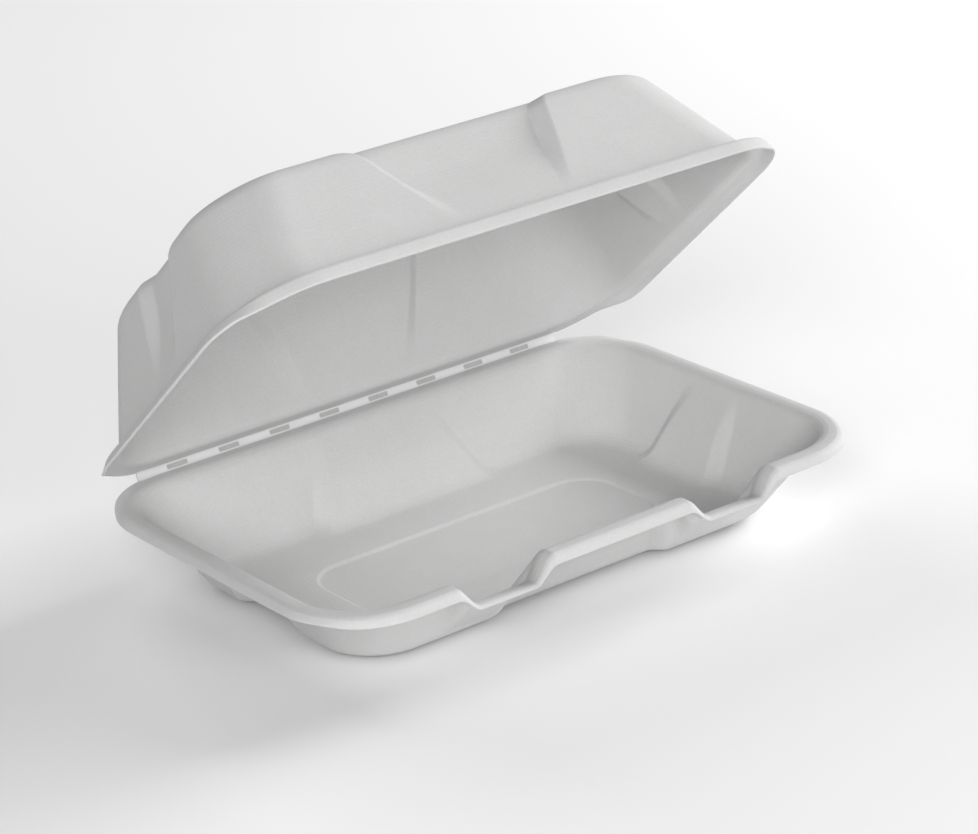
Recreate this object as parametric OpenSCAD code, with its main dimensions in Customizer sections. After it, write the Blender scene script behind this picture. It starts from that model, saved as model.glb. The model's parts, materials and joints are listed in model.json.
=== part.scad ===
// Clamshell food container of moulded plant fibre: a shallow tray and a deeper lid, pressed as one
// sheet and folded at a perforated crease along the back rim.
// Frame: origin in the middle of the tray's underside, X along the crease, Y towards it, Z up.

/* [Tray] */
// Width over the rim, along the crease
tray_w = 232; // [205:1:300]
// Depth over the rim, from the front to the crease side
tray_d = 155; // [140:1:210]
// Height from the table to the top of the rim
tray_h = 31; // [27:0.5:42]
// Lean of the tray's walls from upright, in degrees
tray_draft = 32; // [22:1:36]
// Corner radius of the tray's rim
tray_rim_r = 32; // [28:1:40]
// Corner radius of the tray's floor
tray_foot_r = 20; // [14:1:24]

/* [Lid] */
// Depth of the lid from its seat on the rim to its top
lid_h = 46; // [34:0.5:56]
// Lean of the lid's walls from upright, in degrees
lid_draft = 19; // [14:1:24]
// Corner radius of the lid's flat top
lid_top_r = 26; // [16:1:28]
// How far the lid stands open, in degrees from closed
open_angle = 41; // [0:1:150]

/* [Sheet] */
// Thickness of the pressed sheet
wall = 1; // [0.7:0.1:1.4]
// Radius between floor and wall
floor_fillet = 8.5; // [5:0.5:10]
// Radius between wall and rim
rim_fillet = 3; // [2:0.25:4]

/* [Rim] */
// Width of the flat rim around each half
flange = 6.5; // [6:0.25:8]
// Length of the bend at which the rim's edge turns down
lip_bend = 1.8; // [1.2:0.1:2]
// Length of the tray's turned edge
tray_lip = 2.5; // [2:0.1:3]
// Length of the lid's turned edge
lid_lip = 3.8; // [3:0.1:4]
// Turn of the edge at the front, in degrees
front_turn = 80; // [60:1:85]
// Turn of the edge at the back, beside the crease
back_turn = 2; // [1:0.5:6]
// Turn of the edge at the ends, the same in both halves so that they nest
side_turn = 25; // [10:1:40]
// Length over which the front turn dies out along the ends
turn_fade = 30; // [20:1:40]
// Space between the tray's edge and the lid's edge around it
seat_gap = 1; // [0.5:0.1:1.5]
// Space between the two rims when the lid is shut
rim_gap = 0.4; // [0.3:0.05:0.6]

/* [Wall panels] */
// Depth of the pressed-in panel at the floor, front and back
panel_depth = 4.5; // [2:0.25:6]
// Depth of the pressed-in panel at the floor, at the ends
end_panel_depth = 4; // [2:0.25:5]
// Flat of each corner post beside the front and back panels
post_w = 22; // [18:0.5:25]
// Flat of each corner post beside the end panels
end_post_w = 3; // [2:0.5:5]
// How much further in the panel's edge is at the rim, front and back
panel_lean = 16; // [10:0.5:18]
// How much further in the panel's edge is at the rim, at the ends
end_panel_lean = 9; // [4:0.5:10]
// Width of the slope beside each panel
panel_slope = 7; // [5:0.5:8]

/* [Floor panel] */
// Length of the sunk panel in the tray's floor
floor_panel_w = 126; // [90:1:135]
// Width of the sunk panel
floor_panel_d = 46; // [36:1:50]
// Corner radius of the sunk panel
floor_panel_r = 14; // [8:1:16]
// Depth of the step
floor_step = 0.8; // [0.5:0.1:1.5]
// Width of the slope at the step
floor_slope = 2; // [1:0.25:3]

/* [Lock dips] */
// Length of each dip in the front rim
dip_w = 31; // [24:0.5:33]
// Space from the rim's corner to the dip
dip_margin = 20; // [16:0.5:24]
// How far the rim drops in a dip
dip_drop = 8; // [5:0.25:9]
// How far the wall moves out in a dip
dip_reach = 2.25; // [1:0.25:2.5]
// Turn of the edge in a dip, in degrees
dip_turn = 45; // [35:1:60]
// Length of the slope at each end of a dip
dip_slope = 6; // [5:0.5:8]

/* [Crease] */
// Length of the strip that joins the two rims
crease_w = 185; // [150:1:190]
// Thickness of the sheet at the fold and at its trimmed edge
crease_t = 0.6; // [0.4:0.05:0.65]
// Distance from the rim's edge to the fold
fold_reach = 2; // [1.5:0.1:3]
// Space between the two halves of the strip
fold_gap = 0.3; // [0.2:0.05:0.5]
// Number of slits along the fold
slit_count = 8; // [4:1:10]
// Distance from the strip's end to the middle of the first slit
slit_margin = 16.5; // [14:0.5:24]
// Length of a slit
slit_l = 8.5; // [6:0.5:10]
// Width of a slit
slit_w = 1.2; // [0.8:0.1:1.6]

/* [Hidden] */
pulp = [0.86, 0.855, 0.845];

// Points in each part of the section and around each corner
fillet_steps = 3;
wall_steps = 2;
arc_steps = 3;
bend_steps = 2;
corner_steps = 8;
slope_steps = 3;

// The trimmed edge thins out over this length
edge_round = 0.25;
// The strip ends where the rim's corner has turned away from the fold
crease_end = min(crease_w / 2, tray_w / 2 - 0.73 * tray_rim_r);
slit_pitch = 2 * (crease_end - slit_margin) / (slit_count - 1);
fold_y = tray_d / 2 + fold_reach;
fold_z = tray_h + rim_gap / 2;

// The lid's edge goes round the outside of the tray's edge at the front and ends
lid_grow = wall + seat_gap;
lid_w = tray_w + 2 * lid_grow;
lid_d = tray_d + lid_grow;
lid_rim_r = tray_rim_r + lid_grow;

function mix(a, b, u) = a + (b - a) * u;
function clamp(u) = min(1, max(0, u));
function smooth(u) = let (v = clamp(u)) v * v * (3 - 2 * v);
function sorted(v) = len(v) < 2 ? v : let (
    pivot = v[floor(len(v) / 2)],
    low = [for (x = v) if (x < pivot) x],
    same = [for (x = v) if (x == pivot) x],
    high = [for (x = v) if (x > pivot) x])
    concat(sorted(low), same, sorted(high));
function both_signs(v) = concat([for (x = v) -x], [0], v);
// Marks in order, without those that almost coincide
function in_order(v) = let (o = sorted(v)) [for (i = [0:len(o) - 1]) if (i == 0 || o[i] - o[i - 1] > 0.05) o[i]];
function slope_marks(middle, width) = [for (i = [0:slope_steps]) middle + width * (i / slope_steps - 0.5)];
// A quarter turn of a point in plan, once for each side counted from the front
function turned(p, side) = side == 0 ? p : side == 1 ? [-p[1], p[0]] : side == 2 ? -p : [p[1], -p[0]];

// One pressed half, standing on its floor with its rim up. The front is at -Y.
// Its edge turns down where way is -1 and up where way is 1.
module shell(w, d, h, draft, rim_r, foot_r, lip, way, sunk, dipped) {
    lean = 90 - draft;
    step = sunk ? floor_step : 0;
    floor_z = step + wall / 2;
    rim_z = h - wall / 2;

    // Section, as distances in from the rim's edge and heights of the sheet's middle
    arc_in = flange + rim_fillet * sin(lean);
    arc_z = rim_z - rim_fillet * (1 - cos(lean));
    foot_z = floor_z + floor_fillet * (1 - cos(lean));
    foot_in = arc_in + (arc_z - foot_z) / tan(lean);
    floor_in = foot_in + floor_fillet * sin(lean);

    // Half lengths of the straight part of each side, at the rim and at the floor
    rim_half = [w / 2 - rim_r, d / 2 - rim_r];
    floor_half = [w / 2 - floor_in - foot_r, d / 2 - floor_in - foot_r];
    floor_edge = [floor_half[0] - post_w, floor_half[1] - end_post_w] - [1, 1] * panel_slope / 2;
    rim_edge = floor_edge - [panel_lean, end_panel_lean];
    dip_out = rim_half[0] - dip_margin;
    dip_in = dip_out - dip_w;

    // Marks along a side at the rim, and the mark at the floor that goes with each
    function spare_marks(axis, count) = [for (i = [1:count])
        mix(rim_edge[axis] + panel_slope / 2, rim_half[axis], i / (count + 1))];
    function panel_marks(axis, spare) = both_signs(concat(slope_marks(rim_edge[axis], panel_slope),
        spare_marks(axis, spare)));
    function floor_mark(axis, x) = sign(x) * lookup(abs(x), [[0, 0],
        [rim_edge[axis] - panel_slope / 2, floor_edge[axis] - panel_slope / 2],
        [rim_edge[axis] + panel_slope / 2, floor_edge[axis] + panel_slope / 2],
        [rim_half[axis], floor_half[axis]]]);
    dip_marks = both_signs(concat(slope_marks(dip_in, dip_slope), slope_marks(dip_out, dip_slope)));
    slit_marks = [for (i = [0:slit_count - 1]) each [for (x = [-1, slit_w / slit_l - 1, 1 - slit_w / slit_l, 1])
        slit_margin + i * slit_pitch - crease_end + x * slit_l / 2]];
    end_marks = [for (x = slope_marks(crease_end, 1.5)) each [-x, x]];
    crease_marks = [for (x = concat(slit_marks, end_marks)) if (abs(x) < rim_half[0] - 0.5) x];

    // A station is [side, mark at the rim, mark at the floor] or [4 + corner, angle in the corner]
    function side_stations(side, marks) = [for (x = in_order(marks)) [side, x, floor_mark(side % 2, x)]];
    function corner_stations(corner) = [for (i = [0:corner_steps]) [4 + corner, 90 * i / corner_steps]];
    stations = concat(side_stations(0, concat(panel_marks(0, 2), dipped ? dip_marks : [])), corner_stations(0),
        side_stations(1, panel_marks(1, 1)), corner_stations(1),
        side_stations(2, concat(panel_marks(0, 2), crease_marks)), corner_stations(2),
        side_stations(3, panel_marks(1, 1)), corner_stations(3));

    // Place in plan of a station on the ring that lies so far in from the rim's edge
    function panel_in(axis, along, low) = low * (axis == 0 ? panel_depth : end_panel_depth)
        * (1 - smooth((abs(along) - mix(rim_edge[axis], floor_edge[axis], low)) / panel_slope + 0.5));
    function corner_place(s, a, b, r) = let (
        corner = s[0] - 4,
        sign_x = corner < 2 ? 1 : -1,
        sign_y = corner == 1 || corner == 2 ? 1 : -1,
        angle = 90 * corner - 90 + s[1])
        [sign_x * (a - r) + r * cos(angle), sign_y * (b - r) + r * sin(angle)];
    function side_place(s, a, b, low) = let (
        axis = s[0] % 2,
        along = mix(s[1], s[2], low),
        across = axis == 0 ? b : a)
        turned([along, panel_in(axis, along, low) - across], s[0]);
    function wall_place(s, inward) = let (
        a = w / 2 - inward,
        b = d / 2 - inward,
        low = clamp((inward - arc_in) / (floor_in - arc_in)))
        s[0] < 4 ? side_place(s, a, b, low)
            : corner_place(s, a, b, inward < arc_in ? rim_r - inward : mix(rim_r - arc_in, foot_r, low));
    function panel_place(s, grow) = let (
        a = floor_panel_w / 2 + grow,
        b = floor_panel_d / 2 + grow,
        r = floor_panel_r + grow,
        axis = s[0] % 2,
        half = axis == 0 ? a - r : b - r)
        s[0] < 4 ? turned([s[2] * half / floor_half[axis], axis == 0 ? -b : -a], s[0])
            : corner_place(s, a, b, r);

    // How much the edge turns, and how deep a dip is, at a station
    function dip_at(s) = !dipped || s[0] != 0 ? 0
        : smooth((abs(s[1]) - dip_in) / dip_slope + 0.5) * smooth((dip_out - abs(s[1])) / dip_slope + 0.5);
    function turn_at(s) = let (
        y = wall_place(s, 0)[1],
        front = smooth((turn_fade - rim_half[1] - y) / turn_fade),
        back = smooth((y + turn_fade - rim_half[1]) / turn_fade),
        level = mix(mix(side_turn, front_turn, front), back_turn, back))
        mix(level, dip_turn, dip_at(s));

    // The section at a station, from the floor's edge out to the rim's edge: [inward, height, heading]
    function section(s) = let (
        turn = turn_at(s),
        dip = dip_at(s),
        out = dip * dip_reach,
        top_z = rim_z - dip * dip_drop,
        bend_r = lip_bend * 180 / (PI * turn),
        end_in = wall / 2 * sin(turn) + edge_round * cos(turn),
        end_z = top_z + way * (bend_r * (1 - cos(turn)) + lip * sin(turn)),
        bend_in = end_in + bend_r * sin(turn) + lip * cos(turn))
        concat(
            [for (i = [0:fillet_steps]) let (t = lean * i / fillet_steps)
                [floor_in - floor_fillet * sin(t), floor_z + floor_fillet * (1 - cos(t)), t]],
            [for (i = [1:wall_steps]) let (u = i / wall_steps)
                [mix(foot_in, arc_in - out, u), mix(foot_z, arc_z - dip * dip_drop, u), lean]],
            [for (i = [1:arc_steps]) let (t = lean * (1 - i / arc_steps))
                [flange - out + rim_fillet * sin(t), top_z - rim_fillet * (1 - cos(t)), t]],
            [for (i = [0:bend_steps]) let (t = turn * i / bend_steps)
                [bend_in - bend_r * sin(t), top_z + way * bend_r * (1 - cos(t)), way * t]],
            [[end_in, end_z, way * turn]]);

    // The sheet's two faces: 1 is the inner face and -1 the outer face
    function skin(s, face) = let (half = face * wall / 2) [for (p = section(s))
        let (place = wall_place(s, p[0] + half * sin(p[2]))) [place[0], place[1], p[1] + half * cos(p[2])]];
    function floor_rings(s, face) = let (z = (1 + face) * wall / 2) !sunk ? []
        : [for (side = [-1, 1]) let (place = panel_place(s, side * floor_slope / 2))
            [place[0], place[1], z + (1 + side) / 2 * step]];

    // The strip that joins the rims runs on from the back edge to the fold, and each slit is half open in it.
    // Elsewhere the edge only thins out.
    function tilt_at(s) = s[0] == 2 ? 0 : s[0] == 5 ? 90 - s[1] : s[0] == 6 ? s[1] : 90;
    function strip_at(s) = tilt_at(s) > 30 ? 0 : smooth((crease_end - abs(wall_place(s, 0)[0])) / 1.5 + 0.5);
    function slit_at(x) = let (
        i = min(slit_count - 1, max(0, round((x + crease_end - slit_margin) / slit_pitch))),
        off = abs(x - slit_margin - i * slit_pitch + crease_end))
        clamp((slit_l / 2 - off) / (slit_w / 2));
    function strip_reach(s) = (rim_r + fold_reach - fold_gap / 2
        - slit_at(wall_place(s, 0)[0]) * (slit_w - fold_gap) / 2) / cos(tilt_at(s)) - rim_r;
    function edge_length(s, p) = let (strip = strip_at(s))
        strip == 0 ? edge_round : mix(edge_round, (p[0] + strip_reach(s)) / cos(p[2]), strip);
    function edge(s, face) = let (
        rows = section(s),
        p = rows[len(rows) - 1],
        half = face * crease_t / 2,
        reach = edge_length(s, p),
        place = wall_place(s, p[0] - reach * cos(p[2]) + half * sin(p[2])))
        [place[0], place[1], p[1] + reach * sin(p[2]) + half * cos(p[2])];

    function loop(s) = let (outer = concat(floor_rings(s, -1), skin(s, -1)), rows = len(outer))
        concat(floor_rings(s, 1), skin(s, 1), [edge(s, 1), edge(s, -1)], [for (i = [rows - 1:-1:0]) outer[i]]);

    loops = [for (s = stations) loop(s)];
    count = len(loops);
    rows = len(loops[0]);
    function at(i, row) = (i % count) * rows + row;
    top_middle = count * rows;
    under_middle = top_middle + 1;
    points = concat([for (l = loops) each l], [[0, 0, wall], [0, 0, 0]]);
    faces = [for (i = [0:count - 1]) each concat(
        [[top_middle, at(i + 1, 0), at(i, 0)], [under_middle, at(i, rows - 1), at(i + 1, rows - 1)]],
        [for (row = [0:rows - 2]) each [
            [at(i, row), at(i + 1, row), at(i + 1, row + 1)],
            [at(i, row), at(i + 1, row + 1), at(i, row + 1)]]])];
    polyhedron(points, faces, convexity = 8);
}

module tray() {
    color(pulp)
        shell(tray_w, tray_d, tray_h, tray_draft, tray_rim_r, tray_foot_r, tray_lip,
            way = -1, sunk = true, dipped = true);
}

// The lid is drawn shut, upside down over the tray, then swung open about the fold
module lid() {
    color(pulp)
        translate([0, fold_y, fold_z]) rotate([-open_angle, 0, 0]) translate([0, -fold_y, -fold_z])
            translate([0, (tray_d - lid_d) / 2, tray_h + rim_gap + lid_h]) mirror([0, 0, 1])
                shell(lid_w, lid_d, lid_h, lid_draft, lid_rim_r, lid_top_r, lid_lip,
                    way = 1, sunk = false, dipped = false);
}

tray();
lid();
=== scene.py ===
# %% [markdown]
# # A clamshell of moulded plant fibre
# The container is one pressed sheet: a shallow tray, a deeper lid, and a perforated crease between them.
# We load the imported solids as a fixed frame. They say where everything is, so nothing is placed by eye.

import json
import math
from types import SimpleNamespace

import bpy
import numpy as np
from mathutils import Matrix, Vector


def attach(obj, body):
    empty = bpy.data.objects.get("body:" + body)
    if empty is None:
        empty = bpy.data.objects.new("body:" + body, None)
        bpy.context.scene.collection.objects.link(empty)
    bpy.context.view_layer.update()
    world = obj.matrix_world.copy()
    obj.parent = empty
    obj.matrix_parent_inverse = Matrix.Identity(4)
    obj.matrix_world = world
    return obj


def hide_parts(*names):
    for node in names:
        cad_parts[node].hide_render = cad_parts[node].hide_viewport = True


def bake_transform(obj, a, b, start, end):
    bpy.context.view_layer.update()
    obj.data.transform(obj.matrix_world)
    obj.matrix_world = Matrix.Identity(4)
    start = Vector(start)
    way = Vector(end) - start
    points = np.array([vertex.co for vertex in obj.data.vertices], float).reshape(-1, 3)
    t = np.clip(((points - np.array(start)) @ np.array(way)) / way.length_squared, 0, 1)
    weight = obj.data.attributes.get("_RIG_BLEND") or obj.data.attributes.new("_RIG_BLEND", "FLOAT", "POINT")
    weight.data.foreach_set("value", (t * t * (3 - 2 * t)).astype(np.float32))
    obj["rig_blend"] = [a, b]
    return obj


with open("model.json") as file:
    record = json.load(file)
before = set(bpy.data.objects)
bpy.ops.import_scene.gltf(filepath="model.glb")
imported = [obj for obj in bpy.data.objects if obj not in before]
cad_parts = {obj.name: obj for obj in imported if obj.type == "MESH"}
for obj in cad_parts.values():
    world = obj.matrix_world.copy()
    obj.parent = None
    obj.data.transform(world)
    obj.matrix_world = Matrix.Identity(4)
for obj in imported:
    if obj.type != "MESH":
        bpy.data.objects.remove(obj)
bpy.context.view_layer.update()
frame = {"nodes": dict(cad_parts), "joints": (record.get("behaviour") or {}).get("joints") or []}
fold_joint = frame["joints"][0]
print("solids:", sorted(frame["nodes"]), "joint:", fold_joint["name"])

# %% [markdown]
# ## The sizes of the sheet
# A pressed sheet is easiest to think of as its middle surface with a thickness on both sides. We write its
# driving sizes in millimetres, as on a drawing, and turn them into Blender's metres at the very end.
# The fold's place and the lid's opening come from the joint, so the looks and the motion can't drift apart.

# %% Driving sizes, in millimetres and degrees
MM = 0.001
wall = 1.0
floor_fillet = 9.0
front_turn, side_turn, back_turn = 80, 50, 2
front_zone, front_fade = 17, 12
back_zone, back_fade = 25, 16
edge_round, edge_clear = 0.2, 0.02
rim_gap = 0.4
lid_grow = 2.0

panel_depth, end_panel_depth = 4.5, 4.0
panel_slope, panel_round = 6, 0.25
panel_rise = 0.45

floor_panel_w, floor_panel_d, floor_panel_r = 126, 46, 14
floor_step, floor_slope = 0.8, 2.0

dip_w, dip_margin, dip_drop = 31, 20, 8
dip_reach, dip_turn, dip_slope = 2.25, 45, 9
dip_thin = 0.6

fold_y, fold_z = (value / MM for value in fold_joint["pos_m"][1:])
open_angle = math.radians(-fold_joint["range_deg"][0])

tray = SimpleNamespace(w=232, d=155, h=31, draft=32, rim_r=32, foot_r=20, sunk=True, dipped=True,
                       flange=4.8, rim_fillet=6, lip_bend=2.8, lip=1.6, way=-1,
                       posts=np.array([22, 3]), panel_lean=np.array([16, 9]))
lid = SimpleNamespace(w=tray.w + 2 * lid_grow, d=tray.d + lid_grow, h=46, draft=19,
                      rim_r=tray.rim_r + lid_grow, foot_r=26, sunk=False, dipped=False,
                      flange=6.5, rim_fillet=3, lip_bend=2.4, lip=3.3, way=1,
                      posts=np.array([12, 3]), panel_lean=np.array([25, 9]))
print(f"fold at y {fold_y:.1f}, z {fold_z:.2f} mm, lid open by {math.degrees(open_angle):.0f} degrees")


# %% [markdown]
# ## The section of the wall
# Cut the container anywhere and you see the same line: floor, round foot, leaning wall, round shoulder, flat
# rim, and an edge that turns down. We work out once how far in from the rim's edge each of these ends.

# %% Sizes that follow
def mix(a, b, u):
    return a + (b - a) * u


def smooth(u):
    v = np.clip(u, 0, 1)
    return v * v * (3 - 2 * v)


def measure(half):
    """Adds to a half the sizes that follow from its driving ones."""
    half.lean = math.radians(90 - half.draft)
    half.step = floor_step if half.sunk else 0
    half.floor_z = half.step + wall / 2
    half.rim_z = half.h - wall / 2
    half.arc_in = half.flange + half.rim_fillet * math.sin(half.lean)
    half.arc_z = half.rim_z - half.rim_fillet * (1 - math.cos(half.lean))
    half.foot_z = half.floor_z + floor_fillet * (1 - math.cos(half.lean))
    half.foot_in = half.arc_in + (half.arc_z - half.foot_z) / math.tan(half.lean)
    half.floor_in = half.foot_in + floor_fillet * math.sin(half.lean)
    half.rim_half = np.array([half.w / 2, half.d / 2]) - half.rim_r
    half.floor_half = np.array([half.w / 2, half.d / 2]) - half.floor_in - half.foot_r
    half.floor_edge = half.floor_half - half.posts - panel_slope / 2
    half.rim_edge = half.floor_edge - half.panel_lean
    half.dip_out = half.rim_half[0] - dip_margin
    half.dip_in = half.dip_out - dip_w


measure(tray)
measure(lid)
print(f"walls end {tray.floor_in:.1f} mm in from the tray's edge and {lid.floor_in:.1f} mm in from the lid's")


# %% [markdown]
# ## Walking round the rim
# A loft needs stations: places round the rim at which the section is drawn. Straight sides get one every
# couple of millimetres and corners one every few degrees. A station on a side has a place at the rim and
# another at the floor, because the pressed panels grow wider towards the floor.

# %% Stations
STATION_GAP = 2.0
CORNER_STEPS = 26
NEAR_EDGE = np.arange(-5, 5.1, 0.5)
CLEAR_OF_EDGE, LEAST_GAP = 0.3, 0.2


def floor_marks(half, axis, marks):
    """The place at the floor that goes with each place along the rim."""
    slope = panel_slope / 2
    at_rim = [0, half.rim_edge[axis] - slope, half.rim_edge[axis] + slope, half.rim_half[axis]]
    at_floor = [0, half.floor_edge[axis] - slope, half.floor_edge[axis] + slope, half.floor_half[axis]]
    return np.sign(marks) * np.interp(np.abs(marks), at_rim, at_floor)


def walk_round(half):
    """Stations round a half, as columns: side or corner, place at the rim, place at the floor, angle."""
    rows = []
    for side in range(4):
        axis = side % 2
        length = half.rim_half[axis]
        edges = [half.rim_edge[axis]] + ([half.dip_in, half.dip_out] if half.dipped and side == 0 else [])
        near = np.concatenate([way * edge + NEAR_EDGE for edge in edges for way in (-1, 1)])
        even = np.linspace(-length, length, int(2 * length / STATION_GAP) + 2)[1:-1]
        apart = np.abs(even[:, None] - near).min(axis=1) > CLEAR_OF_EDGE
        marks = np.sort(np.concatenate([even[apart], near]))
        marks = marks[np.concatenate([[True], np.diff(marks) > LEAST_GAP])]
        rows += [(side, rim, floor, 0) for rim, floor in zip(marks, floor_marks(half, axis, marks))]
        angles = np.radians(90 * side - 90 + np.linspace(0, 90, CORNER_STEPS + 1))
        rows += [(4 + side, 0, 0, angle) for angle in angles]
    side, rim, floor, angle = (np.array(column)[:, None] for column in zip(*rows))
    return SimpleNamespace(side=side, rim=rim, floor=floor, angle=angle, axis=side % 2, corner=side >= 4)


tray.walk = walk_round(tray)
lid.walk = walk_round(lid)
print("stations:", len(tray.walk.side), "round the tray and", len(lid.walk.side), "round the lid")


# %% [markdown]
# ## Where a ring runs
# Seen from above, each height of the wall is a rounded rectangle, dented where a panel is pressed in.
# One function gives that ring for any distance in from the edge, so the posts and panels come out of the
# same rule as the corners and there is no seam between them.

# %% Rings
def ring(walk, a, b, r, along, out):
    """x and y at each station on a rounded rectangle with half sizes a and b and corner radius r."""
    quarter = walk.side % 4
    side_x = np.choose(quarter, np.broadcast_arrays(along, out, -along, -out))
    side_y = np.choose(quarter, np.broadcast_arrays(-out, along, out, -along))
    sign_x = np.where(quarter < 2, 1, -1)
    sign_y = np.where((quarter == 1) | (quarter == 2), 1, -1)
    corner_x = sign_x * (a - r) + r * np.cos(walk.angle)
    corner_y = sign_y * (b - r) + r * np.sin(walk.angle)
    return np.where(walk.corner, corner_x, side_x), np.where(walk.corner, corner_y, side_y)


def flank(u):
    """From 0 to 1 along a straight slope with rounded ends: the side of a pressed panel."""
    v = np.clip(u, 0, 1)
    low, high = np.minimum(v, panel_round), np.minimum(1 - v, panel_round)
    middle = np.clip(v, panel_round, 1 - panel_round) - panel_round
    rise = (low * low - high * high + panel_round * panel_round) / (2 * panel_round)
    return (rise + middle) / (1 - panel_round)


def wall_ring(half, inward):
    """The ring that lies so far in from the rim's edge, with the panels pressed into it."""
    walk = half.walk
    a, b = half.w / 2 - inward, half.d / 2 - inward
    low = np.clip((inward - half.arc_in) / (half.floor_in - half.arc_in), 0, 1)
    along = mix(walk.rim, walk.floor, low)
    edge = mix(half.rim_edge[walk.axis], half.floor_edge[walk.axis], low)
    depth = np.where(walk.axis == 0, panel_depth, end_panel_depth)
    panel = smooth(low / panel_rise) * depth * (1 - flank((np.abs(along) - edge) / panel_slope + 0.5))
    r = np.where(inward < half.arc_in, half.rim_r - inward, mix(half.rim_r - half.arc_in, half.foot_r, low))
    return ring(walk, a, b, r, along, np.where(walk.axis == 0, b, a) - panel)


def floor_panel_ring(half, grow):
    """The outline of the panel sunk in the floor, grown by so much."""
    walk = half.walk
    a, b, r = floor_panel_w / 2 + grow, floor_panel_d / 2 + grow, floor_panel_r + grow
    length = np.where(walk.axis == 0, a - r, b - r)
    along = walk.floor * length / half.floor_half[walk.axis]
    return ring(walk, a, b, r, along, np.where(walk.axis == 0, b, a))


foot_x, foot_y = wall_ring(tray, np.full(tray.walk.rim.shape, tray.floor_in))
print(f"the ring at the tray's foot is {np.ptp(foot_x):.1f} by {np.ptp(foot_y):.1f} mm")


# %% [markdown]
# ## The edge and the lock dips
# The rim's edge turns down hard at the front, about half as far at the ends and hardly at all beside the
# crease, where the shut lid would otherwise touch the tray.
# In the tray's front rim two dips drop the whole rim, and the lid's edge is pushed into them to shut it.

# %% The section at every station
FILLET_ROWS, WALL_ROWS, ARC_ROWS, FLAT_ROWS, BEND_ROWS, LIP_ROWS = 10, 14, 8, 3, 7, 3


def dip_depth(half):
    """How deep in a dip each station is, from 0 to 1."""
    if not half.dipped:
        return np.zeros_like(half.walk.rim)
    place = np.abs(half.walk.rim)
    inner = smooth((place - half.dip_in) / dip_slope + 0.5)
    return np.where(half.walk.side == 0, inner * smooth((half.dip_out - place) / dip_slope + 0.5), 0)


def edge_turn(half, dip):
    """How far the edge turns at each station, in radians."""
    y = wall_ring(half, np.zeros_like(dip))[1]
    front = smooth((front_zone - half.d / 2 - y) / front_fade)
    back = smooth((back_zone - half.d / 2 + y) / back_fade)
    level = mix(mix(side_turn, front_turn, front), back_turn, back)
    return np.radians(mix(level, dip_turn, dip))


crease_length = 185
crease_trim = 1.5


def beside_crease(half):
    """1 where the sheet runs on into the crease, where its edge is drawn back, and 0 elsewhere."""
    x, y = wall_ring(half, np.zeros_like(half.walk.rim))
    return np.where(y > 0, smooth((crease_length / 2 - np.abs(x)) / crease_trim + 0.5), 0)


def section(half):
    """Inward, height and heading of the sheet's middle, from the floor's edge out to the rim's."""
    dip = dip_depth(half)
    turn = edge_turn(half, dip)
    out, drop = dip * dip_reach, dip * dip_drop
    top = half.rim_z - drop
    bend_r = half.lip_bend * (1 - dip_thin * dip) / turn
    trim = crease_trim * beside_crease(half)
    lip = half.lip * (1 - dip_thin * dip) - trim
    end_in = wall / 2 * np.sin(turn) + edge_round * np.cos(turn) + edge_clear + trim
    bend_end = end_in + lip * np.cos(turn)
    bend_in = bend_end + bend_r * np.sin(turn)
    bend_z = top + half.way * bend_r * (1 - np.cos(turn))

    def steps(count, first=0):
        return np.linspace(0, 1, count + 1)[None, first:]

    foot = half.lean * steps(FILLET_ROWS)
    rise = steps(WALL_ROWS, 1)
    shoulder = half.lean * (1 - steps(ARC_ROWS, 1))
    level = steps(FLAT_ROWS, 1)[:, :-1]
    bend = turn * steps(BEND_ROWS)
    end = steps(LIP_ROWS, 1)
    pieces = [
        (half.floor_in - floor_fillet * np.sin(foot), half.floor_z + floor_fillet * (1 - np.cos(foot)), foot),
        (mix(half.foot_in, half.arc_in - out, rise), mix(half.foot_z, half.arc_z - drop, rise), half.lean),
        (half.flange - out + half.rim_fillet * np.sin(shoulder),
         top - half.rim_fillet * (1 - np.cos(shoulder)), shoulder),
        (mix(half.flange - out, bend_in, level), top, 0),
        (bend_in - bend_r * np.sin(bend), top + half.way * bend_r * (1 - np.cos(bend)), half.way * bend),
        (bend_end - lip * np.cos(turn) * end, bend_z + half.way * lip * np.sin(turn) * end, half.way * turn),
    ]
    counts = [foot.size, rise.size, shoulder.size, level.size, BEND_ROWS + 1, end.size]
    shape = [np.broadcast_to(value, (len(dip), n)) for piece, n in zip(pieces, counts) for value in piece]
    return [np.hstack(shape[i::3]) for i in range(3)]


lid_turn = np.degrees(edge_turn(lid, dip_depth(lid)))
print(f"the lid's edge turns by {lid_turn.min():.0f} to {lid_turn.max():.0f} degrees;",
      "a section has", section(lid)[0].shape[1], "points")


# %% [markdown]
# ## Two faces and a rounded edge
# Offsetting the middle line to both sides by half the thickness gives the food side and the outside.
# A die trims the sheet, so its edge is slightly rounded. Pulp is never quite even, and a very slow
# waviness of about a tenth of a millimetre, always inwards, takes the machined look off it.

# %% Skins
EDGE_ROWS = 6
WAVE = 0.05


def unevenness(x, y, z):
    """A slow, fixed waviness of the sheet, in millimetres, of several lengths so that no pattern shows."""
    first = np.sin(x / 17 + 0.7) * np.sin(y / 13 - 0.4) + np.sin(z / 9 + x / 23)
    second = np.sin(x / 7 - y / 8 + 2.1) * np.sin(z / 6 + 0.9)
    return WAVE * (1.2 + 0.4 * first + 0.3 * second)


def offset(half, inward, height, heading, across, along=0):
    """Points that lie across the sheet and further along its heading, as one array of x, y and z."""
    x, y = wall_ring(half, inward - along * np.cos(heading) + across * np.sin(heading))
    return np.stack([x, y, height + along * np.sin(heading) + across * np.cos(heading)], axis=-1)


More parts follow.
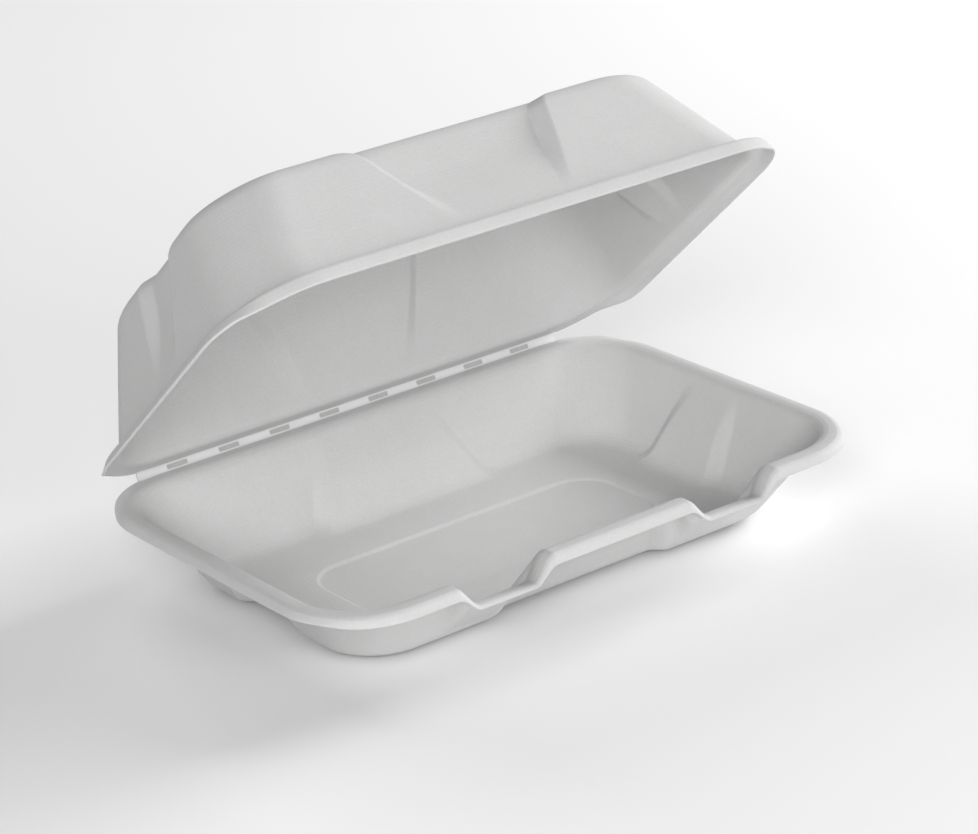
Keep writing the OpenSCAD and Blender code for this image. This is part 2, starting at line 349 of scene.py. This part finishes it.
def skins(half):
    """The inner face, the trimmed edge and the outer face, as rows of points from floor to rim and back."""
    inward, height, heading = section(half)
    x, y = wall_ring(half, inward)
    to_edge = np.linspace(1, 0, inward.shape[1] - FILLET_ROWS - WALL_ROWS - BEND_ROWS - LIP_ROWS - 2)
    still = np.zeros(BEND_ROWS + LIP_ROWS + 1)
    wave = unevenness(x, y, height)
    wave *= np.concatenate([np.linspace(0, 1, FILLET_ROWS + 1), np.ones(WALL_ROWS), to_edge, still])
    inner = offset(half, inward, height, heading, wall / 2 + wave)
    outer = offset(half, inward, height, heading, wave - wall / 2)
    last = [value[:, -1:] for value in (inward, height, heading)]
    around = np.radians(90 - 180 * np.arange(1, EDGE_ROWS) / EDGE_ROWS)[None]
    edge = offset(half, *last, wall / 2 * np.sin(around) + wave[:, -1:], edge_round * np.cos(around))
    return inner, edge, outer


print("points on the inner face, the edge and the outer face:", [skin.shape[1] for skin in skins(tray)])


# %% [markdown]
# ## The floor
# The tray's floor has a shallow panel pressed down in its middle, and the container stands on that panel.
# Rings that shrink towards the middle keep the mesh even, so the soft step catches the light cleanly. The
# lid's top is flat: there the same rings only lead from the dented outline to a plain one.

# %% Floors
FAN = (0.12, 0.3, 0.5, 0.7, 0.88)
STEP_ROWS = 6
MARGIN_ROWS = 3


def floor_rows(half, edge_row, z):
    """Rings from near the middle, over the panel's step, out to the row at the wall's foot."""
    edge_xy = edge_row[:, 0, :2]
    rings = []
    for u in np.linspace(0, 1, STEP_ROWS + 1):
        x, y = floor_panel_ring(half, (u - 0.5) * floor_slope)
        rings.append((np.hstack([x, y]), z + half.step * smooth(u)))
    core, outer = rings[0][0], rings[-1][0]
    rings += [(mix(outer, edge_xy, u), z + half.step) for u in np.linspace(0, 1, MARGIN_ROWS + 1)[1:-1]]
    rings = [(core * f, z) for f in FAN] + rings
    return np.stack([np.column_stack([xy, np.full(len(xy), level)]) for xy, level in rings], axis=1)


print("rings in the tray's floor:", floor_rows(tray, skins(tray)[0], wall).shape[1])


# %% [markdown]
# ## From rows to a mesh
# Every station is now a closed line of points: floor, inner face, edge, outer face, underside. Joining each
# line to the next makes the whole sheet one closed surface. The texture map unrolls the wall: one direction
# runs round the rim and the other up the wall, so that the imprint of the forming screen follows the shape.

# %% Loft
def joined(stations, count):
    """Quads between neighbouring stations, and the fans that close both middles of the floor."""
    i = np.arange(stations)
    after = (i + 1) % stations
    row = np.arange(count - 1)
    here, there = i[:, None] * count + row, after[:, None] * count + row
    quads = np.stack([here, here + 1, there + 1, there], axis=-1)
    top, under = stations * count, stations * count + 1
    last = (i + 1) * count - 1
    fans = [(top, a, b) for a, b in zip(i * count, after * count)]
    fans += [(under, b, a) for a, b in zip(last, last[after])]
    return quads, np.array(fans)


def unrolled(rows, wall_row):
    """The corners of each quad on the map: how far round the rim and how far up the wall."""
    steps = np.linalg.norm(np.roll(rows[:, wall_row], -1, axis=0) - rows[:, wall_row], axis=1)
    rim = np.concatenate([[0], np.cumsum(steps)])
    up = np.concatenate([[0], np.cumsum(np.linalg.norm(np.diff(rows[0], axis=0), axis=1))])
    rim_corners = np.stack([rim[:-1], rim[:-1], rim[1:], rim[1:]], -1)[:, None, :]
    up_corners = np.stack([up[:-1], up[1:], up[1:], up[:-1]], -1)[None]
    return np.stack(np.broadcast_arrays(rim_corners, up_corners), -1)


def volume(points, quads, fans):
    """The volume inside, which is negative when the faces point inwards."""
    a, b, c = points[np.vstack([quads[:, :3], quads[:, [0, 2, 3]], fans])].transpose(1, 0, 2)
    return np.einsum("ij,ij->", a, np.cross(b, c)) / 6


def lofted(name, half, to_place):
    """One closed mesh of a half, put in place by a function on its points."""
    inner, edge, outer = skins(half)
    floor_in, floor_out = floor_rows(half, inner, wall), floor_rows(half, outer, 0)
    rows = np.concatenate([floor_in, inner, edge, outer[:, ::-1], floor_out[:, ::-1]], axis=1)
    stations, count = rows.shape[:2]
    points = np.vstack([rows.reshape(-1, 3), [[0, 0, wall], [0, 0, 0]]])
    quads, fans = joined(stations, count)

    row = np.arange(count - 1)
    on_floor = (row < floor_in.shape[1]) | (row >= count - 1 - floor_out.shape[1])
    wall_map = unrolled(rows, floor_in.shape[1])
    quad_map = np.where(on_floor[None, :, None, None], points[quads][..., :2], wall_map).reshape(-1, 4, 2)
    fan_map = points[fans][..., :2]

    placed = to_place(points) * MM
    quads = quads.reshape(-1, 4)
    if volume(placed, quads, fans) < 0:
        quads, fans, quad_map, fan_map = (part[:, ::-1] for part in (quads, fans, quad_map, fan_map))
    mesh = bpy.data.meshes.new(name)
    mesh.from_pydata(placed.tolist(), [], quads.tolist() + fans.tolist())
    corner_map = np.vstack([quad_map.reshape(-1, 2), fan_map.reshape(-1, 2)]) * MM
    mesh.uv_layers.new(name="sheet")
    mesh.uv_layers["sheet"].data.foreach_set("uv", corner_map.ravel())
    mesh.polygons.foreach_set("use_smooth", np.ones(len(mesh.polygons), bool))
    piece = bpy.data.objects.new(name, mesh)
    bpy.context.scene.collection.objects.link(piece)
    return piece


print("quads on the tray's inner face:", joined(*skins(tray)[0].shape[:2])[0].shape[:2])


# %% [markdown]
# ## Both halves in place
# The tray is drawn where it stands. The lid is drawn like a tray too, because the same press makes it: it is
# turned over onto the real tray and then swung open about the fold, just as you would open it by hand.

# %% Tray and lid
def tray_place(points):
    return points


def lid_place(points):
    """The lid is drawn like a tray, turned over onto the real tray, and swung open about the fold."""
    x, y, z = points.T
    y = y + (tray.d - lid.d) / 2 - fold_y
    z = tray.h + rim_gap + lid.h - z - fold_z
    swung_y = y * math.cos(open_angle) + z * math.sin(open_angle)
    swung_z = z * math.cos(open_angle) - y * math.sin(open_angle)
    return np.column_stack([x, swung_y + fold_y, swung_z + fold_z])


tray_sheet = lofted("tray_sheet", tray, tray_place)
lid_sheet = lofted("lid_sheet", lid, lid_place)
for piece in (tray_sheet, lid_sheet):
    print(piece.name, "has", len(piece.data.polygons), "faces")


# %% [markdown]
# ## The finish of the pulp
# Bagasse dries to a dull, warm grey-white. Up close it is a felt of short fibres, a little cloudy where the
# pulp settled thicker. Noise stretched in several directions looks like crossing fibres. The effect is a node
# group, so that the sheet and the crease share it with values of their own.

# %% A felt of fibres
def new_group(name, inputs, outputs):
    """An empty shader node group with float or vector inputs and float outputs."""
    group = bpy.data.node_groups.new(name, "ShaderNodeTree")
    for label, kind in inputs:
        group.interface.new_socket(name=label, in_out="INPUT", socket_type=f"NodeSocket{kind}")
    for label in outputs:
        group.interface.new_socket(name=label, in_out="OUTPUT", socket_type="NodeSocketFloat")
    return group, group.nodes.new("NodeGroupInput"), group.nodes.new("NodeGroupOutput")


def math_node(tree, operation, *values):
    """A Math node whose inputs are numbers or other nodes' outputs."""
    node = tree.nodes.new("ShaderNodeMath")
    node.operation = operation
    for socket, value in zip(node.inputs, values):
        if isinstance(value, (int, float)):
            socket.default_value = value
        else:
            tree.links.new(value, socket)
    return node.outputs[0]


def noise(tree, vector, scale, detail):
    node = tree.nodes.new("ShaderNodeTexNoise")
    node.inputs["Detail"].default_value = detail
    tree.links.new(vector, node.inputs["Vector"])
    tree.links.new(scale, node.inputs["Scale"])
    return node.outputs["Fac"]


CLOUD_SHARE = 0.15
FIBRE_STRETCH = 0.45
FIBRE_TURNS = (0.4, 1.5, 2.5)


def fibre_felt():
    """Short crossing fibres and slow clouds: Tone for the colour, Height for the bump."""
    inputs = [("Vector", "Vector"), ("Fibre Size", "Float"), ("Cloud Size", "Float")]
    tree, given, put = new_group("fibre_felt", inputs, ["Tone", "Height"])
    fine = math_node(tree, "DIVIDE", 1.0, given.outputs["Fibre Size"])
    slow = math_node(tree, "DIVIDE", 1.0, given.outputs["Cloud Size"])
    felt = noise(tree, given.outputs["Vector"], fine, 2)
    for turn in FIBRE_TURNS:
        lay = tree.nodes.new("ShaderNodeMapping")
        lay.inputs["Rotation"].default_value = (turn, turn / 2, turn)
        lay.inputs["Scale"].default_value = (FIBRE_STRETCH, 1, 1)
        tree.links.new(given.outputs["Vector"], lay.inputs["Vector"])
        felt = math_node(tree, "ADD", felt, noise(tree, lay.outputs[0], fine, 1))
    felt = math_node(tree, "DIVIDE", felt, len(FIBRE_TURNS) + 1)
    clouds = noise(tree, given.outputs["Vector"], slow, 2)
    fibres = math_node(tree, "MULTIPLY", felt, 1 - CLOUD_SHARE)
    tree.links.new(math_node(tree, "MULTIPLY_ADD", clouds, CLOUD_SHARE, fibres), put.inputs["Tone"])
    tree.links.new(felt, put.inputs["Height"])
    return tree


felt_group = fibre_felt()
print(felt_group.name, "has", len(felt_group.nodes), "nodes")


# %% [markdown]
# ## The weave
# Wet pulp is drawn onto a shaped wire screen, and the wires leave a faint grid in it. Two sine waves on the
# unrolled map make that grid, so its lines run round the wall and up it, however the wall leans.

# %% The weave of the forming screen
WIRE_ROUND, WIRE_UP = 0.3, 0.2


def screen_imprint():
    """The crossing wires of a screen, those round the wall a little stronger, on a map in metres."""
    tree, given, put = new_group("screen_imprint", [("Map", "Vector"), ("Pitch", "Float")], ["Height"])
    parts = tree.nodes.new("ShaderNodeSeparateXYZ")
    tree.links.new(given.outputs["Map"], parts.inputs[0])
    turns = math_node(tree, "DIVIDE", 2 * math.pi, given.outputs["Pitch"])
    across, up = (math_node(tree, "SINE", math_node(tree, "MULTIPLY", parts.outputs[axis], turns))
                  for axis in ("X", "Y"))
    wires = math_node(tree, "MULTIPLY_ADD", across, WIRE_UP, math_node(tree, "MULTIPLY", up, WIRE_ROUND))
    tree.links.new(math_node(tree, "ADD", wires, 0.5), put.inputs["Height"])
    return tree


screen_group = screen_imprint()
print(screen_group.name, "has", len(screen_group.nodes), "nodes")


# %% [markdown]
# ## Three materials from the same groups
# The sheet has the felt and the screen's weave. The crease was crushed, so it has a coarser felt and no
# weave;
# its slightly darker tone is painted shade that keeps the strip, which faces the lamps, as dark as the tray's
# back wall.
# The slits' cut faces are near-black: painted shade for the deep shade inside the slits, though they are the
# same pulp. What is the same everywhere, such as the low gloss, is set straight on the shader.

# %% Pulp materials
SCREEN_PITCH = 0.0017
RELIEF = 0.0003
GLOSS = 0.25
FELT_LOW, FELT_HIGH = 0.35, 0.65
ROUGH, ROUGH_FALL = 0.95, -0.1


def pulp(name, dark, light, fibre_size, cloud_size, bump, weave):
    """A dull pulp between two tones. The weave is how much of the bump is the screen's imprint."""
    material = bpy.data.materials.new(name)
    material.use_nodes = True
    tree = material.node_tree
    shader = tree.nodes["Principled BSDF"]
    shader.inputs["Specular IOR Level"].default_value = GLOSS
    coords = tree.nodes.new("ShaderNodeTexCoord")
    felt = tree.nodes.new("ShaderNodeGroup")
    felt.node_tree = felt_group
    felt.inputs["Fibre Size"].default_value = fibre_size
    felt.inputs["Cloud Size"].default_value = cloud_size
    tree.links.new(coords.outputs["Object"], felt.inputs["Vector"])

    spread = tree.nodes.new("ShaderNodeMapRange")
    spread.inputs["From Min"].default_value = FELT_LOW
    spread.inputs["From Max"].default_value = FELT_HIGH
    tree.links.new(felt.outputs["Tone"], spread.inputs["Value"])
    colour = tree.nodes.new("ShaderNodeMix")
    colour.data_type = "RGBA"
    colour.inputs["A"].default_value = (*dark, 1)
    colour.inputs["B"].default_value = (*light, 1)
    tree.links.new(spread.outputs["Result"], colour.inputs["Factor"])
    tree.links.new(colour.outputs["Result"], shader.inputs["Base Color"])
    dull = math_node(tree, "MULTIPLY_ADD", spread.outputs["Result"], ROUGH_FALL, ROUGH)
    tree.links.new(dull, shader.inputs["Roughness"])

    height = felt.outputs["Height"]
    if weave:
        screen = tree.nodes.new("ShaderNodeGroup")
        screen.node_tree = screen_group
        screen.inputs["Pitch"].default_value = SCREEN_PITCH
        sheet_map = tree.nodes.new("ShaderNodeUVMap")
        sheet_map.uv_map = "sheet"
        tree.links.new(sheet_map.outputs["UV"], screen.inputs["Map"])
        height = math_node(tree, "MULTIPLY_ADD", screen.outputs["Height"], weave, height)
    relief = tree.nodes.new("ShaderNodeBump")
    relief.inputs["Strength"].default_value = bump
    relief.inputs["Distance"].default_value = RELIEF
    tree.links.new(height, relief.inputs["Height"])
    tree.links.new(relief.outputs["Normal"], shader.inputs["Normal"])
    return material


sheet_pulp = pulp("sheet_pulp", dark=(0.60, 0.599, 0.597), light=(0.66, 0.659, 0.657),
                  fibre_size=0.0005, cloud_size=0.012, bump=0.35, weave=0.45)
# The crease's darker tones are painted shade: they hold the strip that faces the lamps down to the back
# wall's tone.
crease_pulp_painted_shade = pulp("crease_pulp_painted_shade", dark=(0.48, 0.479, 0.477), light=(0.55, 0.549, 0.547),
                   fibre_size=0.0006, cloud_size=0.006, bump=0.5, weave=0)
# A near-black pulp for the slits' cut faces: painted shade standing in for the deep shade inside the slits.
slit_painted_shade = pulp("slit_painted_shade", dark=(0.10, 0.098, 0.095), light=(0.16, 0.158, 0.155),
                fibre_size=0.0006, cloud_size=0.006, bump=0.5, weave=0)
for piece in (tray_sheet, lid_sheet):
    piece.data.materials.append(sheet_pulp)
print("materials:", sheet_pulp.name, crease_pulp_painted_shade.name, slit_painted_shade.name)


# %% [markdown]
# ## The perforated crease
# Tray and lid meet in a strip of thinner sheet, pierced by a row of slits so that it bends there. Slits
# repeat at a fixed distance, which is a job for Geometry Nodes: one slit is instanced along a line and the
# row is cut out of a strip. All sizes are inputs of the tree, so they can be changed without opening it.

# %% The tree and its inputs
crease_t = 0.7
slit_count, slit_margin, slit_l, slit_w = 8, 16.5, 8.5, 0.55
slit_slant = math.radians(70)
fold_radius = 2.2
crease_root = 2.0

crease_group = bpy.data.node_groups.new("perforated_crease", "GeometryNodeTree")
CREASE_INPUTS = {
    "Float": ["Length", "Width", "Thickness", "Slit Pitch", "Slit Length", "Slit Width", "Slit Slant",
              "Fold Radius", "Fold Turn"],
    "Int": ["Slits"],
    "Vector": ["Fold Centre"],
    "Material": ["Finish"],
}
for kind, labels in CREASE_INPUTS.items():
    for label in labels:
        crease_group.interface.new_socket(name=label, in_out="INPUT", socket_type=f"NodeSocket{kind}")
crease_group.interface.new_socket(name="Geometry", in_out="OUTPUT", socket_type="NodeSocketGeometry")
given = crease_group.nodes.new("NodeGroupInput").outputs
print("inputs:", [socket.name for socket in given if socket.name])


# %% [markdown]
# ## Slits in a flat strip
# It is easiest to pierce the strip while it is flat. The convex hull of two rods is a slit with round ends.
# The knife goes in at a slant, so the lips of a slit overlap and no light shows through. The row starts a
# little to one side, which brings the slits to the middle of the side that we see.

# %% The pierced strip
ARC_CELLS = 36
ROD_SIDES = 20
CUT_DEPTH = 8.0


def node(kind, **links):
    """A node with some inputs linked or set, named with underscores for spaces."""
    made = crease_group.nodes.new(kind)
    for label, value in links.items():
        socket = made.inputs[label.replace("_", " ")]
        if isinstance(value, bpy.types.NodeSocket):
            crease_group.links.new(value, socket)
        else:
            socket.default_value = value
    return made


def vector(x=0.0, y=0.0, z=0.0):
    return node("ShaderNodeCombineXYZ", X=x, Y=y, Z=z).outputs[0]


def calc(operation, *values):
    return math_node(crease_group, operation, *values)


strip = node("GeometryNodeMeshCube", Size=vector(given["Length"], given["Width"], given["Thickness"]),
             Vertices_X=2, Vertices_Y=ARC_CELLS, Vertices_Z=2)
rod = node("GeometryNodeMeshCylinder", Vertices=ROD_SIDES, Radius=calc("MULTIPLY", given["Slit Width"], 0.5),
           Depth=calc("MULTIPLY", given["Thickness"], CUT_DEPTH))
reach = calc("MULTIPLY", calc("SUBTRACT", given["Slit Length"], given["Slit Width"]), 0.5)
rods = crease_group.nodes.new("GeometryNodeJoinGeometry")
for way in (-1.0, 1.0):
    shift = vector(calc("MULTIPLY", reach, way))
    moved = node("GeometryNodeTransform", Geometry=rod.outputs["Mesh"], Translation=shift)
    crease_group.links.new(moved.outputs[0], rods.inputs[0])
slit = node("GeometryNodeConvexHull", Geometry=rods.outputs[0])

gaps = calc("SUBTRACT", given["Slits"], 1.0)
first = calc("MULTIPLY", gaps, calc("MULTIPLY", given["Slit Pitch"], -0.5))
lead = calc("MULTIPLY", calc("TANGENT", given["Slit Slant"]), calc("MULTIPLY", given["Thickness"], -0.5))
line = node("GeometryNodeMeshLine", Count=given["Slits"], Start_Location=vector(first, lead),
            Offset=vector(given["Slit Pitch"]))
slant = node("FunctionNodeEulerToRotation", Euler=vector(calc("MULTIPLY", given["Slit Slant"], -1.0)))
slits = node("GeometryNodeInstanceOnPoints", Points=line.outputs[0], Instance=slit.outputs[0],
             Rotation=slant.outputs[0])
cutters = node("GeometryNodeRealizeInstances", Geometry=slits.outputs[0])
pierced = crease_group.nodes.new("GeometryNodeMeshBoolean")
pierced.operation = "DIFFERENCE"
pierced.solver = "EXACT"
crease_group.links.new(strip.outputs["Mesh"], pierced.inputs["Mesh 1"])
crease_group.links.new(cutters.outputs[0], pierced.inputs["Mesh 2"])
print("nodes for the pierced strip:", len(crease_group.nodes))


# %% [markdown]
# ## Bending the strip
# A sheet bent over a rod keeps its length, so the distance along the flat strip becomes an angle round the
# rod, and what is left at both ends stays straight. A Set Position node does this for every point at once.

# %% The bend
flat = node("ShaderNodeSeparateXYZ", Vector=node("GeometryNodeInputPosition").outputs[0]).outputs
arc = calc("MULTIPLY", given["Fold Radius"], given["Fold Turn"])
run = calc("MULTIPLY_ADD", arc, 0.5, flat["Y"])
turned = calc("MAXIMUM", calc("DIVIDE", run, given["Fold Radius"]), 0.0)
angle = calc("MINIMUM", turned, given["Fold Turn"])
past = calc("SUBTRACT", run, calc("MULTIPLY", angle, given["Fold Radius"]))
radius = calc("SUBTRACT", given["Fold Radius"], flat["Z"])
sine, cosine = calc("SINE", angle), calc("COSINE", angle)
bent_y = calc("MULTIPLY_ADD", past, cosine, calc("MULTIPLY", radius, sine))
bent_z = calc("SUBTRACT", calc("MULTIPLY", past, sine), calc("MULTIPLY", radius, cosine))
bent = node("ShaderNodeVectorMath", Vector=given["Fold Centre"])
crease_group.links.new(vector(flat["X"], bent_y, bent_z), bent.inputs[1])
folded = node("GeometryNodeSetPosition", Geometry=pierced.outputs["Mesh"], Position=bent.outputs[0])
whole = node("GeometryNodeRealizeInstances", Geometry=folded.outputs[0])
finished = node("GeometryNodeSetMaterial", Geometry=whole.outputs[0], Material=given["Finish"])
crease_group.links.new(finished.outputs[0], crease_group.nodes.new("NodeGroupOutput").inputs[0])
print("nodes in the whole tree:", len(crease_group.nodes))

# %% [markdown]
# ## Where the fold's arc sits
# The tray's rim is level and the lid's rim leans up by the opening. An arc that touches both of their
# middle planes has its centre on the line that halves the angle between them. From there the strip runs on
# into the thickness of both rims, where it is out of sight. The walls of the slits, which lie between the
# two faces of the strip, get a near-black material that is painted shade for the inside of the slits.

# %% The crease in place
IN_SLIT = 0.4
STRIP_END = 0.49
SHARP_EDGE = math.radians(40)
half_open = open_angle / 2
to_middle = (rim_gap + wall) / 2
slide = (fold_radius - to_middle) / math.sin(half_open)
arc_y = fold_y - slide * math.cos(half_open)
arc_z = fold_z + slide * math.sin(half_open)
fold_turn = math.pi - open_angle

crease_piece = bpy.data.objects.new("crease_strip", bpy.data.meshes.new("crease_strip"))
bpy.context.scene.collection.objects.link(crease_piece)
crease_nodes = crease_piece.modifiers.new("crease", "NODES")
crease_nodes.node_group = crease_group
crease_sizes = {
    "Length": crease_length * MM,
    "Width": (fold_radius * fold_turn + 2 * crease_root) * MM,
    "Thickness": crease_t * MM,
    "Slit Pitch": (crease_length - 2 * slit_margin) / (slit_count - 1) * MM,
    "Slit Length": slit_l * MM,
    "Slit Width": slit_w * MM,
    "Slit Slant": slit_slant,
    "Fold Radius": fold_radius * MM,
    "Fold Turn": fold_turn,
    "Slits": slit_count,
    "Fold Centre": (0, arc_y * MM, arc_z * MM),
    "Finish": crease_pulp_painted_shade,
}
for item in crease_group.interface.items_tree:
    if item.in_out == "INPUT":
        crease_nodes[item.identifier] = crease_sizes[item.name]
seen = crease_piece.evaluated_get(bpy.context.evaluated_depsgraph_get())
crease_piece.data = bpy.data.meshes.new_from_object(seen)
crease_piece.modifiers.clear()
# The slits' walls get the near-black material, which is painted shade and not a colour of the pulp.
crease_piece.data.materials.append(slit_painted_shade)
for face in crease_piece.data.polygons:
    off_middle = math.hypot(face.center.y / MM - arc_y, face.center.z / MM - arc_z) - fold_radius
    before_end = abs(face.center.x) < STRIP_END * crease_length * MM
    face.material_index = 1 if abs(off_middle) < IN_SLIT * crease_t and before_end else 0
crease_piece.data.polygons.foreach_set("use_smooth", np.ones(len(crease_piece.data.polygons), bool))
crease_piece.data.set_sharp_from_angle(angle=SHARP_EDGE)
print("crease strip:", len(crease_piece.data.polygons), "faces, arc centre at y", round(arc_y, 2),
      "z", round(arc_z, 2))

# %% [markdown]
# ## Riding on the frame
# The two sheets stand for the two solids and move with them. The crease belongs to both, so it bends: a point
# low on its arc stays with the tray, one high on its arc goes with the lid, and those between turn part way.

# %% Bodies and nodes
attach(tray_sheet, "tray")
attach(lid_sheet, "lid")
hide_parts("tray")
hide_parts("lid")
arc_start = (0, arc_y * MM, (arc_z - fold_radius) * MM)
arc_end = (0, arc_y * MM, (arc_z - fold_radius * math.cos(fold_turn)) * MM)
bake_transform(crease_piece, "tray", "lid", start=arc_start, end=arc_end)

# %% [markdown]
# ## Camera
# The view is from the left and a little above, through a long lens that hardly converges. The picture leans
# by a few degrees, so the camera is rolled about its own axis as well.

# %% The photograph's view
IMAGE_W, IMAGE_H = 978, 834
view_azimuth, view_elevation, view_roll = (math.radians(angle) for angle in (-36.04, 21.88, -4.03))
view_distance = 1261.9 * MM
view_target = Vector((49.14, 57.83, 20.0)) * MM
focal_px = 3436.6
axis_px = (495.58, 411.19)


def aimed_camera():
    """A camera that looks back along the given azimuth and elevation, rolled about its own axis."""
    data = bpy.data.cameras.new("view")
    data.lens = focal_px * data.sensor_width / IMAGE_W
    data.shift_x = (IMAGE_W / 2 - axis_px[0]) / IMAGE_W
    data.shift_y = (axis_px[1] - IMAGE_H / 2) / IMAGE_W
    back = Vector((math.sin(view_azimuth) * math.cos(view_elevation),
                   -math.cos(view_azimuth) * math.cos(view_elevation), math.sin(view_elevation)))
    level = Vector((math.cos(view_azimuth), math.sin(view_azimuth), 0))
    up = back.cross(level)
    right = level * math.cos(view_roll) + up * math.sin(view_roll)
    above = up * math.cos(view_roll) - level * math.sin(view_roll)
    camera = bpy.data.objects.new("view", data)
    turn = Matrix((right, above, back)).transposed().to_4x4()
    camera.matrix_world = Matrix.Translation(view_target + back * view_distance) @ turn
    bpy.context.scene.collection.objects.link(camera)
    return camera


bpy.context.scene.camera = aimed_camera()
print(f"lens {bpy.context.scene.camera.data.lens:.1f} mm")

# %% [markdown]
# ## The floor
# A plain pale table, far larger than the picture, so that no edge of it is seen. It lies a hair below the
# container, so that the two never share a plane.

# %% Floor
FLOOR_HALF = 4.0
FLOOR_Z = -0.0001
FLOOR_TONE, FLOOR_ROUGH = 0.95, 0.9
floor_mesh = bpy.data.meshes.new("floor")
floor_ways = [(-1, -1), (1, -1), (1, 1), (-1, 1)]
floor_corners = [(x * FLOOR_HALF, y * FLOOR_HALF, FLOOR_Z) for x, y in floor_ways]
floor_mesh.from_pydata(floor_corners, [], [(0, 1, 2, 3)])
floor = bpy.data.objects.new("floor", floor_mesh)
bpy.context.scene.collection.objects.link(floor)
floor_paint = bpy.data.materials.new("floor_paint")
floor_paint.use_nodes = True
floor_shader = floor_paint.node_tree.nodes["Principled BSDF"].inputs
floor_shader["Base Color"].default_value = (FLOOR_TONE, FLOOR_TONE, FLOOR_TONE, 1)
floor_shader["Roughness"].default_value = FLOOR_ROUGH
floor_mesh.materials.append(floor_paint)
print("floor:", 2 * FLOOR_HALF, "m wide")


# %% [markdown]
# ## Light
# Pale card on a white table shows only by its shading, so no two directions get the same light. A low lamp in
# front reaches under the lid, a lamp at the front left fills the tray's far walls, a strong one at the right
# sets off the posts from the panels between them, and a weak one behind draws the rim.

# %% Studio
OBJECT_MIDDLE = Vector((0, 0, 0.07))
SURROUNDINGS = 0.06


def soft_lamp(name, place, size, power):
    """A square lamp of the given side in metres and power in watts that faces the container."""
    data = bpy.data.lights.new(name, "AREA")
    data.size = size
    data.energy = power
    lamp = bpy.data.objects.new(name, data)
    lamp.location = place
    lamp.rotation_euler = (OBJECT_MIDDLE - Vector(place)).to_track_quat("-Z", "Y").to_euler()
    bpy.context.scene.collection.objects.link(lamp)


soft_lamp("front", (0.0, -1.6, 0.35), size=1.2, power=11)
soft_lamp("front_left", (-1.2, -1.2, 0.9), size=0.9, power=21)
soft_lamp("right", (1.7, 0.0, 0.7), size=0.9, power=34)
soft_lamp("back", (0.0, 1.3, 1.2), size=0.9, power=8)
world = bpy.data.worlds.new("surroundings")
world.use_nodes = True
world.node_tree.nodes["Background"].inputs["Color"].default_value = (1, 1, 1, 1)
world.node_tree.nodes["Background"].inputs["Strength"].default_value = SURROUNDINGS
bpy.context.scene.world = world
bpy.context.scene.view_settings.view_transform = "Standard"
